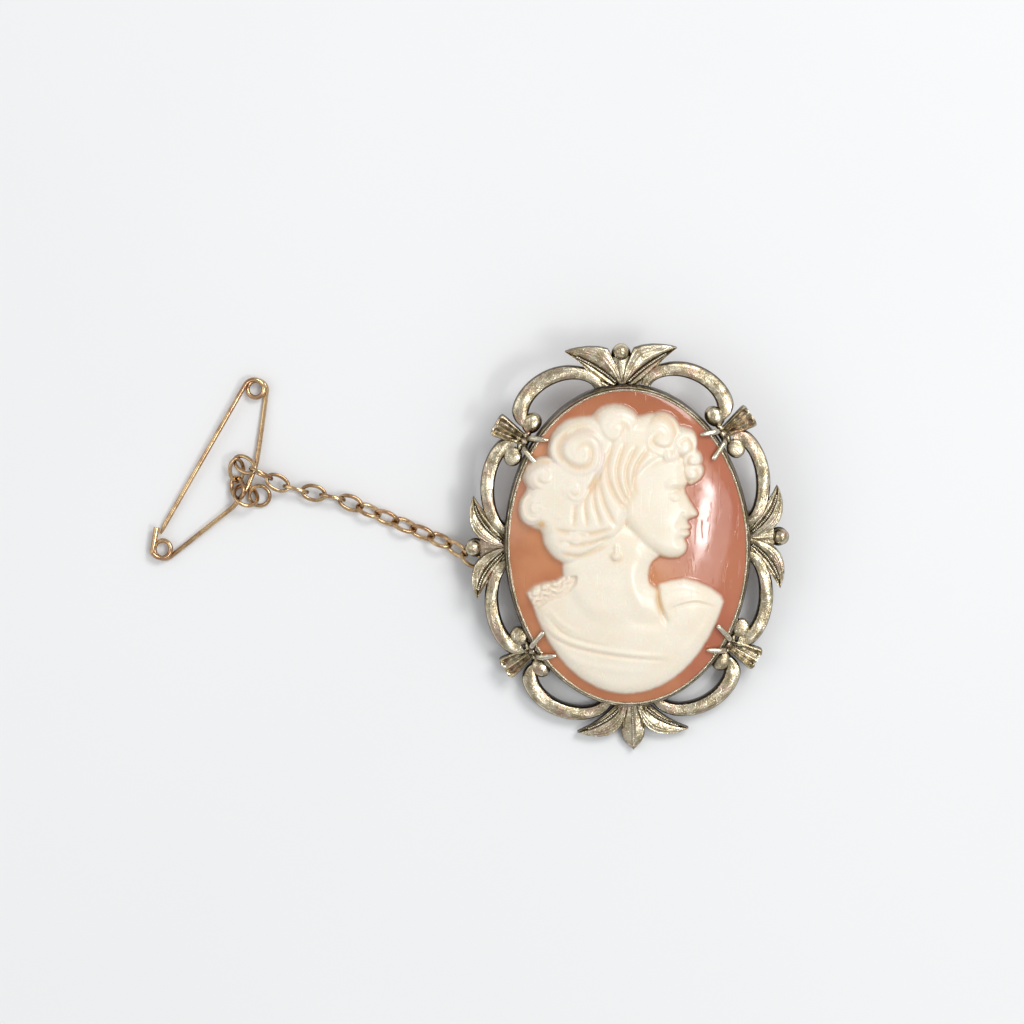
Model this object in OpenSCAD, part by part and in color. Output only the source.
// Cameo brooch with a safety chain and a small safety pin, lying face up.
// The brooch leans on its back fittings and on its lowest leaf, so its upper
// edge is raised. The chain and the safety pin lie on the same surface.

/* [Cameo] */
// Width of the oval shell cameo
cameo_w = 30; // [26:0.5:34]
// Height of the oval shell cameo
cameo_h = 40; // [36:0.5:44]
// Thickness of the shell at its edge
cameo_edge = 1.4; // [1:0.1:2]
// Rise of the ground from the edge to the middle of the cameo
ground_rise = 2.2; // [1.2:0.1:3]
// Depth of the hollow in the back of the shell
back_hollow = 1.8; // [1:0.1:2.2]
// Height of the carved bust above the ground
relief_h = 2.1; // [1.2:0.1:3]

/* [Setting] */
// Thickness of the collar round the cameo
collar_t = 0.35; // [0.3:0.05:0.6]
// Width of the shelf that the cameo sits on
shelf_w = 1.6; // [1:0.1:2.5]
// Thickness of that shelf
shelf_t = 0.5; // [0.4:0.1:0.8]
// Height of the slope where the collar and the cameo edge lean in
lean_h = 0.6; // [0.4:0.1:0.9]
// How far that slope leans in over the cameo
lean_in = 0.3; // [0.2:0.05:0.4]
// How far the setting sits below the middle of the openwork
setting_drop = 0.4; // [0:0.1:0.8]
// Diameter of the claws at their root
claw_d = 0.75; // [0.5:0.05:1]
// How far the claws reach in over the cameo
claw_reach = 1.2; // [0.8:0.1:1.8]

/* [Openwork] */
// Thickness of the openwork
work_t = 1.5; // [1.2:0.1:2]
// Width of the scroll wires at their middle
scroll_w = 1.9; // [1.4:0.1:2.4]
// Diameter of the balls at the top, left and right
ball_d = 2; // [1.6:0.1:2.6]
// Width of the leaves
leaf_w = 2.8; // [2:0.1:3.2]
// Diameter of the flat lobes beside each bow
lobe_d = 2.3; // [1.8:0.1:2.5]
// Length of the fluted fan of each bow
fan_l = 4; // [3:0.1:5]
// Width of the fan at its outer end
fan_w = 3; // [2.2:0.1:3.4]

/* [Back fittings] */
// Depth of the fittings behind the openwork
fitting_depth = 4.2; // [3.4:0.1:5]
// Distance from the middle of the brooch to the hinge and to the catch
fitting_x = 15.9; // [15.6:0.1:16.4]
// Height of the pin line above the middle of the brooch
pin_line = 1; // [0:0.1:2]
// Diameter of the pin stem
stem_d = 0.85; // [0.7:0.05:1]
// Diameter of the rivet through the hinge
rivet_d = 0.7; // [0.5:0.05:0.9]
// Diameter of the soldered loop that holds the chain
loop_d = 2.5; // [2.2:0.1:2.8]

/* [Chain] */
// Length of a chain link over its outside
link_l = 3.5; // [3.4:0.05:3.6]
// Width of a chain link over its outside
link_w = 2.3; // [2.2:0.05:2.4]
// Diameter of the link wire
link_wire = 0.45; // [0.4:0.01:0.48]
// Diameter of the wire of the two jump rings
ring_wire = 0.5; // [0.4:0.05:0.55]
// Diameter of the larger jump ring over its outside
ring_a_d = 3.6; // [3.4:0.1:3.8]
// Diameter of the smaller jump ring over its outside
ring_b_d = 3.1; // [3:0.1:3.3]

/* [Safety pin] */
// Diameter of the safety pin wire
pin_wire = 0.6; // [0.5:0.05:0.65]
// Middle radius of the turns at the two ends
turn_r = 1; // [0.95:0.05:1.1]
// Middle radius of the wire where it runs into those turns
turn_out = 1.4; // [1.3:0.05:1.5]

/* [Hidden] */

silver = "#B9B095";
shell = "#F7EAD8";
gold = "#C9A063";

// Room left between pieces that fit together
gap = 0.08;

// Levels, measured from the back face of the openwork
stone_z = shelf_t + gap;
lean_z = stone_z + cameo_edge;
rim_z = lean_z + lean_h;
stone_out = lean_in;
collar_in = stone_out + gap;
collar_out = collar_in + collar_t;
collar_top = rim_z + 0.2;

// Half axes of the cameo, which the whole brooch follows, and the flats round it
oval = [cameo_w / 2, cameo_h / 2];
oval_steps = 60;

// Scrolls of one quarter: the angle and the distance from the oval at the leaf end
// and at the bow end, and how far the middle swells outwards
scroll_rows = [
    // leaf_at, leaf_out, bow_at, bow_out, swell
    [81, 0.3, 46.5, 2.3, 3.25],
    [8, 0.3, 36, 2.3, 2.65]
];
SC_LEAF_AT = 0;
SC_LEAF_OUT = 1;
SC_BOW_AT = 2;
SC_BOW_OUT = 3;
SC_SWELL = 4;

// Leaf sprays: the side they grow from, the reach and spread of the side leaves,
// the reach of a middle leaf and whether a ball closes the spray
spray_rows = [
    // side, spread, reach, middle_reach, ball
    [90, 6.85, 4.8, 0, true],
    [0, 6.5, 4.4, 0, true],
    [180, 6.5, 4.4, 0, true],
    [270, 7.05, 4.5, 6.7, false]
];
SP_SIDE = 0;
SP_SPREAD = 1;
SP_REACH = 2;
SP_MIDDLE = 3;
SP_BALL = 4;
middle_leaf = spray_rows[3][SP_MIDDLE];

// Width of a leaf along its length, as shares of both
leaf_rows = [[0, 0.7], [0.25, 0.95], [0.5, 1], [0.75, 0.74], [0.9, 0.38], [1, 0.05]];
// Width of the stem between the side leaves, at the collar and under the ball
stem_foot_w = 1.6;
stem_top_w = 2;

// Distance of the balls from the oval
ball_out = 4.45;
// Bows: their angle round the oval, the distance of the knot and of the lobes from it,
// the angle from the knot to a lobe and to a claw, and the number of flutes of the fan
bow_at = 40.8;
bow_out = 1.5;
lobe_out = 1.4;
lobe_turn = 7.6;
claw_turn = 2.3;
knot_d = 1.7;
flutes = 3;
// Room under the tips of the claws
claw_clear = 0.25;

// Share of a path, on either side of a point, over which its heading is taken
near = 0.01;

// Cross-sections: across from -1 to 1, up from 0 to 1
scroll_section = [[-1, 0], [1, 0], [1, 0.6], [0.45, 1], [-0.45, 1], [-1, 0.6]];
leaf_section = [[-1, 0], [1, 0], [1, 0.45], [0.5, 1], [0, 0.72], [-0.5, 1], [-1, 0.45]];

// Masses of the carved bust: place, half length, half width, turn and height,
// with lengths as shares of half the cameo's width, heights as shares of the relief
bust_rows = [
    // x, y, half_length, half_width, turn, height
    ["crown", -0.02, 0.78, 0.52, 0.42, 8, 0.86],
    ["head", 0.22, 0.42, 0.62, 0.38, 78, 0.74],
    ["jaw", 0.27, 0.13, 0.30, 0.22, 30, 0.66],
    ["neck", 0.02, -0.12, 0.52, 0.36, 80, 0.58],
    ["nape", -0.2, 0.22, 0.46, 0.34, 65, 0.6],
    ["left_shoulder", -0.34, -0.66, 0.62, 0.42, 28, 0.62],
    ["right_shoulder", 0.36, -0.64, 0.56, 0.36, -22, 0.58],
    ["breast", 0.02, -0.86, 0.66, 0.42, 0, 0.6],
    ["brow_curl", 0.24, 1.07, 0.24, 0.18, 0, 0.98],
    ["front_curl", 0.44, 0.92, 0.21, 0.17, -30, 1.0],
    ["temple_curl", 0.54, 0.72, 0.18, 0.14, -50, 0.92],
    ["fringe_curl", 0.58, 0.60, 0.1, 0.08, -70, 0.8],
    ["top_curl", -0.08, 1.12, 0.23, 0.17, 10, 1.0],
    ["back_curl", -0.32, 1.0, 0.24, 0.19, 40, 1.0],
    ["big_curl", -0.46, 0.8, 0.24, 0.22, 0, 1.08],
    ["side_curl", -0.66, 0.62, 0.2, 0.15, 60, 0.95],
    ["nape_curl", -0.74, 0.4, 0.18, 0.14, 80, 0.88],
    ["low_curl", -0.6, 0.26, 0.16, 0.12, 0, 0.84],
    ["ear_curl", -0.14, 0.5, 0.2, 0.15, 70, 1.02]
];
BU_X = 1;
BU_Y = 2;
BU_LONG = 3;
BU_WIDE = 4;
BU_TURN = 5;
BU_HIGH = 6;
// How deep the masses are rooted in the ground, their sides, and the share of
// their height at which they are widest
mass_foot = 0.8;
mass_sides = 12;
mass_belly = 0.35;

// Shares of the oval at which the dome of the ground and the hollow behind it are drawn
dome_shares = [0.93, 0.82, 0.68, 0.5, 0.28];
cup_shares = [0.3, 0.6, 0.8, 0.88];

// Hinge: two ears and the pin's knuckle between them, on a plate
ear_r = 1.1;
ear_t = 0.5;
knuckle_w = 1;
knuckle_r = 0.9;
ear_half = knuckle_w / 2 + gap + ear_t;
pin_drop = fitting_depth - ear_r;
hinge_plate = [3.4, 4.4];
// Catch: a rolled strip on a post, open by the angle of its mouth, on a plate
catch_r = 1.2;
catch_w = 2.2;
catch_t = 0.45;
catch_mouth = 70;
catch_plate = [catch_w, 6.6];
post_w = 0.8;
// How far soldered parts run into each other
solder = 0.2;
// Back pin: the length of its taper, its point, and how far it runs past the catch
taper_l = 2.5;
pin_point_r = 0.1;
past_catch = 1.6;

// Lean of the brooch: its back fittings and its lowest leaf touch the surface
lowest_leaf = oval.y + middle_leaf;
lean = atan(fitting_depth / (lowest_leaf + pin_line - ear_half));
lift = lowest_leaf * sin(lean);
// How the brooch is turned, and how far it lies above the middle from which the
// chain and the safety pin are measured
brooch_turn = 2.1;
brooch_up = 0.75;

// The chain's soldered loop behind the left spray: its place, how far its upper
// side sinks into the leaf, and its heading
loop_at = [-18, -2.76];
loop_sunk = 0.37;
loop_wire = 0.45;
loop_r = (loop_d - loop_wire) / 2;
loop_heading = -32;

// Middle points of the safety pin's two turned ends, the angles at which the wire
// enters and leaves them, the ends of the wire, and the points where the arm between
// the turns rests on the ring and bends
coil_at = [-47.1, 20];
coil_turn = [150, -360];
head_at = [-58.9, -0.2];
head_turn = [-50, -520];
pin_tip = [-59.25, 1.6];
pin_bend = [-58.6, 2.9];
wire_end = [-59.6, 2.5];
pin_tip_r = 0.06;
turn_steps = 20;
pin_sides = 8;
arm_route = [
    [-46.3, 15.3, 0.55], [-46.95, 10.9, 0.75], [-47.7, 8.6, 0.9], [-48.6, 6.8, 1], [-49.9, 5.1, 0.9]
];

// Links that lie heaped round the two rings: the middle of each, its heading,
// how far its end is raised and its roll about its own length
heaped_rows = [
    // x, y, z, heading, rise, roll
    [-49.35, 7.5, 1.3, -72, 23, 28],
    [-49.45, 9.75, 1.45, 92, 22, 23],
    [-48.4, 10.45, 1.9, -35, 16, -7],
    [-46.3, 9.3, 2.1, -28, -20, 81],
    [-44.25, 8.15, 1.5, -27, -6, 3],
    [-41.95, 7.35, 1.2, -15, 0, 88]
];
HE_HEADING = 3;
HE_RISE = 4;
HE_ROLL = 5;

// Route of the stretched part of the chain, up to the loop behind the brooch
chain_route = [
    [-40.9, 7.15, 1.2], [-38.4, 6.55, 1.2], [-35.9, 6, 1.15], [-33.8, 5.1, 1],
    [-29, 3.1, 0.95], [-24.4, 1.2, 1.1], [-22.1, 0.15, 1.5], [-18.55, -2.15, 2.85]
];
// Roll of each stretched link about its length, 0 for flat and 90 for on edge
link_rolls = [6, 88, 22, -50, 40, -45, 45, -45, 45, -25];

// The two jump rings: the middle of each, the heading of its raised side and its slope
ring_a_at = [-48.3, 6.5, 1.3];
ring_a_side = 239;
ring_a_slope = 42;
ring_b_at = [-46.6, 6.5, 0.65];
ring_b_side = 90;
ring_b_slope = 16;

// Middle of the whole footprint
reach_right = oval.x + ball_out + ball_d / 2;
reach_left = -head_at.x + turn_out + pin_wire / 2;
reach_up = (oval.y + ball_out + ball_d / 2) * cos(lean) + brooch_up;
reach_down = lowest_leaf * cos(lean) - brooch_up;
footprint = [(reach_right - reach_left) / 2, (reach_up - reach_down) / 2];

function mix(a, b, u) = a + (b - a) * u;
function oval_point(t, out) =
    let (n = [cos(t) / oval.x, sin(t) / oval.y])
    [oval.x * cos(t), oval.y * sin(t)] + n / norm(n) * out;
function oval_heading(t) = atan2(sin(t) / oval.y, cos(t) / oval.x);
function ground_z(x, y) =
    let (s = min(1, pow(x / oval.x, 2) + pow(y / oval.y, 2)))
    rim_z + ground_rise * pow(1 - s, 0.8);
function bezier(p, q, r, u) = (1 - u) * (1 - u) * p + 2 * u * (1 - u) * q + u * u * r;
function heading(v) = atan2(v.y, v.x);

// A ring of points: a section laid across a flat path
function section_ring(p, a, w, h, section) =
    [for (q = section) [p.x - sin(a) * q.x * w / 2, p.y + cos(a) * q.x * w / 2, q.y * h]];

// A closed skin over rings that all have the same number of points
module skin(rings) {
    n = len(rings[0]);
    m = len(rings);
    sides = [for (i = [0 : m - 2]) for (j = [0 : n - 1])
        each [[i * n + j, (i + 1) * n + (j + 1) % n, i * n + (j + 1) % n],
              [i * n + j, (i + 1) * n + j, (i + 1) * n + (j + 1) % n]]];
    first = [for (j = [0 : n - 1]) j];
    last = [for (j = [n - 1 : -1 : 0]) (m - 1) * n + j];
    polyhedron(points = [for (r = rings) each r], faces = concat([first], sides, [last]));
}

// A closed band round the oval from a section of [out, z] rows
module oval_band(section, steps) {
    n = len(section);
    points = [for (i = [0 : steps - 1]) for (q = section)
        let (p = oval_point(360 * i / steps, q.x)) [p.x, p.y, q.y]];
    faces = [for (i = [0 : steps - 1]) for (j = [0 : n - 1])
        let (k = (i + 1) % steps, l = (j + 1) % n)
        each [[i * n + j, k * n + l, k * n + j], [i * n + j, i * n + l, k * n + l]]];
    polyhedron(points = points, faces = faces);
}

module in_brooch() {
    translate([-footprint.x, brooch_up - footprint.y, 0])
        rotate([0, 0, brooch_turn])
            translate([0, 0, lift])
                rotate([lean, 0, 0])
                    children();
}

module on_surface() {
    translate([-footprint.x, -footprint.y, 0]) children();
}

module collar() {
    oval_band([
        [-shelf_w, 0], [collar_out, 0], [collar_out, lean_z], [collar_out - lean_in, collar_top],
        [collar_in - lean_in, collar_top], [collar_in, lean_z], [collar_in, shelf_t], [-shelf_w, shelf_t]
    ], oval_steps);
}

module scroll(row) {
    steps = 12;
    function at(u) = let (
            t = mix(row[SC_LEAF_AT], row[SC_BOW_AT], (1 - cos(180 * u)) / 2),
            d = mix(row[SC_LEAF_OUT], row[SC_BOW_OUT], u) + row[SC_SWELL] * sin(180 * u))
        oval_point(t, d);
    skin([for (i = [0 : steps])
        let (u = i / steps, a = heading(at(min(1, u + near)) - at(max(0, u - near))),
             w = scroll_w * (0.72 + 0.28 * sin(180 * u)))
        section_ring(at(u), a, w, work_t, scroll_section)]);
}

module leaf(root, bow, tip, width) {
    function at(u) = bezier(root, bow, tip, u);
    skin([for (r = leaf_rows)
        let (u = r[0], w = r[1], a = heading(at(min(1, u + near)) - at(max(0, u - near))))
        section_ring(at(u), a, width * w, work_t * (0.75 + 0.25 * w), leaf_section)]);
}

module spray(row) {
    side = row[SP_SIDE];
    reach = row[SP_REACH];
    middle = row[SP_MIDDLE];
    from = side % 180 == 0 ? oval.x : oval.y;
    rotate([0, 0, side - 90]) translate([0, from, 0]) {
        for (m = [0, 1]) mirror([m, 0, 0])
            leaf([leaf_w * 0.2, solder], [leaf_w * 0.6, reach * 0.78], [row[SP_SPREAD], reach], leaf_w);
        hull() {
            translate([0, collar_out, 0]) cylinder(h = work_t * 0.7, d = stem_foot_w, $fn = 8);
            translate([0, reach * 0.66, 0]) cylinder(h = work_t * 0.7, d = stem_top_w, $fn = 8);
        }
        if (row[SP_BALL])
            translate([0, ball_out, ball_d * 0.4]) sphere(d = ball_d, $fn = 14);
        if (middle > 0)
            leaf([0, middle * 0.15], [0, middle * 0.6], [0, middle], leaf_w * 1.1);
    }
}

// A claw that rises beside the bow and bends in over the cameo,
// made wider all round by room where it is cut out of the carving
module claw(turn, room) {
    root = oval_point(bow_at + turn * 0.4, bow_out - claw_d * 0.4);
    over = oval_point(bow_at + turn, collar_out - gap);
    tip = oval_point(bow_at + turn * 2, -claw_reach);
    bend = [over.x, over.y, collar_top + claw_d * 0.3];
    hull() {
        claw_ball([root.x, root.y, work_t * 0.6], claw_d + 2 * room);
        claw_ball(bend, claw_d + 2 * room);
    }
    hull() {
        claw_ball(bend, claw_d + 2 * room);
        claw_ball([tip.x, tip.y, ground_z(tip.x, tip.y) + claw_d * 0.4 + claw_clear],
            claw_d * 0.8 + 2 * room);
    }
}

module claw_ball(at, d) {
    translate(at) sphere(d = d, $fn = 8);
}

module claws(room) {
    for (s = [-1, 1]) claw(s * claw_turn, room);
}

module quarters() {
    for (mx = [0, 1]) for (my = [0, 1]) mirror([mx, 0, 0]) mirror([0, my, 0]) children();
}

// The room that the cameo takes, cut out of the sprays behind the collar
module seat() {
    function ring(out, z) = [for (i = [0 : oval_steps - 1])
        let (p = oval_point(360 * i / oval_steps, out)) [p.x, p.y, z]];
    skin([ring(collar_in, shelf_t), ring(collar_in, lean_z), ring(collar_in - lean_in, collar_top + ball_d)]);
}

module bow() {
    knot = oval_point(bow_at, bow_out);
    flute_w = fan_w / flutes;
    translate([knot.x, knot.y, work_t * 0.55]) scale([1, 1, 0.9]) sphere(d = knot_d, $fn = 10);
    translate([knot.x, knot.y, 0]) rotate([0, 0, oval_heading(bow_at)])
        for (i = [0 : flutes - 1]) {
            across = (i - (flutes - 1) / 2) * flute_w;
            hull() {
                translate([0, across * 0.3, 0]) cylinder(h = work_t * 0.94, d = flute_w * 0.6, $fn = 6);
                translate([fan_l - flute_w * 0.4, across, 0])
                    cylinder(h = work_t * 1.1, d = flute_w * 1.15, $fn = 8);
            }
        }
    for (s = [-1, 1]) {
        p = oval_point(bow_at + s * lobe_turn, lobe_out);
        translate([p.x, p.y, work_t * 0.5]) scale([1, 1, 0.85]) sphere(d = lobe_d, $fn = 10);
    }
}

// A plate soldered across the back of the collar
module back_plate(plate) {
    translate([-plate.x / 2, -plate.y / 2, -shelf_t]) cube([plate.x, plate.y, shelf_t + solder]);
}

// A disc that stands across the line of the pin
module cross_disc(thickness, radius) {
    translate([0, 0, -pin_drop]) rotate([90, 0, 0])
        cylinder(h = thickness, r = radius, center = true, $fn = 24);
}

module hinge() {
    translate([-fitting_x, pin_line, 0]) {
        back_plate(hinge_plate);
        for (s = [-1, 1]) translate([0, s * (ear_half - ear_t / 2), 0]) difference() {
            hull() {
                cross_disc(ear_t, ear_r);
                translate([-ear_r, -ear_t / 2, -shelf_t]) cube([2 * ear_r, ear_t, shelf_t]);
            }
            cross_disc(ear_t * 2, rivet_d / 2 + gap);
        }
    }
}

module catch() {
    post_z = -pin_drop + catch_r - catch_t;
    translate([fitting_x, 0, 0]) {
        back_plate(catch_plate);
        translate([-catch_w / 2, pin_line - post_w / 2, post_z]) cube([catch_w, post_w, -post_z]);
        translate([-catch_w / 2, pin_line, -pin_drop]) rotate([90, 0, 90])
            rotate_extrude(angle = 360 - catch_mouth, start = 90, $fn = 20)
                translate([catch_r - catch_t, 0]) square([catch_t, catch_w]);
    }
}

module chain_loop() {
    translate([loop_at.x, loop_at.y, loop_sunk - loop_d / 2]) rotate([90, 0, loop_heading])
        rotate_extrude($fn = 14) translate([loop_r, 0]) circle(d = loop_wire, $fn = 8);
}

module frame() {
    color(silver) in_brooch() union() {
        translate([0, -setting_drop, 0]) collar();
        difference() {
            union() {
                for (row = spray_rows) spray(row);
                quarters() {
                    for (row = scroll_rows) scroll(row);
                    bow();
                }
            }
            translate([0, -setting_drop, 0]) seat();
        }
        quarters() claws(0);
        hinge();
        catch();
        chain_loop();
    }
}

module ground() {
    cup_edge = cup_shares[len(cup_shares) - 1];
    function ring(share, out, z) = [for (i = [0 : oval_steps - 1])
        let (p = oval_point(360 * i / oval_steps, out) * share) [p.x, p.y, z]];
    skin(concat(
        [for (s = cup_shares) ring(s, 0, stone_z + back_hollow * (1 - pow(s / cup_edge, 2)))],
        [ring(1, stone_out, stone_z), ring(1, stone_out, lean_z), ring(1, 0, rim_z)],
        [for (s = dome_shares) ring(s, 0, rim_z + ground_rise * pow(1 - s * s, 0.8))]));
}

module mass(row) {
    x = row[BU_X] * oval.x;
    y = row[BU_Y] * oval.x;
    long_r = row[BU_LONG] * oval.x;
    wide_r = row[BU_WIDE] * oval.x;
    h = relief_h * row[BU_HIGH];
    translate([x, y, ground_z(x, y)]) rotate([0, 0, row[BU_TURN]]) hull() {
        translate([0, 0, h * mass_belly]) scale([long_r, wide_r, h * (1 - mass_belly)])
            sphere(r = 1, $fn = mass_sides);
        translate([0, 0, -mass_foot]) scale([long_r, wide_r, 1])
            cylinder(r = 0.96, h = mass_foot / 8, $fn = mass_sides);
    }
}

module bust() {
    for (row = bust_rows) mass(row);
}

module cameo() {
    color(shell) in_brooch() union() {
        translate([0, -setting_drop, 0]) ground();
        difference() {
            translate([0, -setting_drop, 0]) bust();
            quarters() claws(gap);
        }
    }
}

module back_pin() {
    stem_l = 2 * fitting_x + catch_w / 2 + past_catch - taper_l;
    color(silver) in_brooch() translate([-fitting_x, pin_line, -pin_drop]) {
        rotate([90, 0, 0]) cylinder(h = knuckle_w, r = knuckle_r, center = true, $fn = 32);
        rotate([90, 0, 0]) cylinder(h = 2 * ear_half, d = rivet_d, center = true, $fn = 32);
        rotate([0, 90, 0]) cylinder(h = stem_l, d = stem_d, $fn = 32);
        translate([stem_l, 0, 0]) rotate([0, 90, 0])
            cylinder(h = taper_l, r1 = stem_d / 2, r2 = pin_point_r, $fn = 32);
    }
}

// An oval link of round wire, lying flat along X
module oval_link(length, width, wire) {
    r = (width - wire) / 2;
    half = (length - width) / 2;
    for (s = [0, 1]) mirror([s, 0, 0]) {
        translate([half, 0, 0]) rotate_extrude(angle = 180, start = -90, $fn = 32)
            translate([r, 0]) circle(d = wire, $fn = 24);
        for (side = [-1, 1]) translate([0, side * r, 0]) rotate([0, 90, 0])
            cylinder(h = half, d = wire, $fn = 24);
    }
}

// Distances along the route to each of its points
route_at = [for (i = [0 : len(chain_route) - 1])
    i == 0 ? 0 : route_sum(i)];
function route_sum(i) = i == 0 ? 0 : route_sum(i - 1) + norm(chain_route[i] - chain_route[i - 1]);
function on_route(s) =
    let (i = max([for (k = [0 : len(chain_route) - 2]) if (route_at[k] <= s + 0.0001) k]),
         u = (s - route_at[i]) / (route_at[i + 1] - route_at[i]))
    mix(chain_route[i], chain_route[i + 1], u);

module laid_link(at, heading, rise, roll) {
    color(gold) on_surface() translate(at) rotate([0, -rise, heading]) rotate([roll, 0, 0])
        oval_link(link_l, link_w, link_wire);
}

module link(i) {
    heaped = len(heaped_rows);
    if (i < heaped) {
        row = heaped_rows[i];
        laid_link([row.x, row.y, row.z], row[HE_HEADING], row[HE_RISE], row[HE_ROLL]);
    } else {
        pitch = route_at[len(chain_route) - 1] / len(link_rolls);
        a = on_route(pitch * (i - heaped));
        b = on_route(pitch * (i - heaped + 1));
        v = b - a;
        laid_link((a + b) / 2, heading(v), atan2(v.z, norm([v.x, v.y])), link_rolls[i - heaped]);
    }
}

module jump_ring(d, at, high_side, slope) {
    color(gold) on_surface() translate(at) rotate([0, 0, high_side]) rotate([0, -slope, 0])
        rotate_extrude($fn = 48) translate([(d - ring_wire) / 2, 0]) circle(d = ring_wire, $fn = 24);
}

module jump_ring_a() {
    jump_ring(ring_a_d, ring_a_at, ring_a_side, ring_a_slope);
}

module jump_ring_b() {
    jump_ring(ring_b_d, ring_b_at, ring_b_side, ring_b_slope);
}

// The path of the safety pin's wire, one row for each bend of it
function turns(at, angles, z0, z1) = [for (i = [0 : turn_steps])
    let (u = i / turn_steps, a = mix(angles[0], angles[1], u),
         r = mix(turn_r, turn_out, pow(abs(2 * u - 1), 2)))
    [at.x + r * cos(a), at.y + r * sin(a), mix(z0, z1, u)]];
pin_low = pin_wire / 2;
pin_path = concat(
    [[pin_tip.x, pin_tip.y, pin_low * 1.7], [pin_bend.x, pin_bend.y, pin_low * 1.8]],
    turns(coil_at, coil_turn, pin_low * 4.3, pin_low),
    arm_route,
    turns(head_at, head_turn, pin_low, pin_low * 4),
    [[wire_end.x, wire_end.y, pin_low * 4.2]]);

function unit(v) = v / norm(v);
function wire_ring(p, v, r, sides) =
    let (t = unit(v), side = unit(cross([0, 0, 1], t)), up = cross(t, side))
    [for (k = [0 : sides - 1]) p + r * (cos(360 * k / sides) * side + sin(360 * k / sides) * up)];

module safety_pin() {
    n = len(pin_path);
    color(gold) on_surface()
        skin([for (i = [0 : n - 1])
            let (v = pin_path[min(n - 1, i + 1)] - pin_path[max(0, i - 1)],
                 r = i == 0 ? pin_tip_r : pin_wire / 2)
            wire_ring(pin_path[i], v, r, pin_sides)]);
}

frame();
cameo();
back_pin();
for (i = [0 : 15]) link(i);
jump_ring_a();
jump_ring_b();
safety_pin();
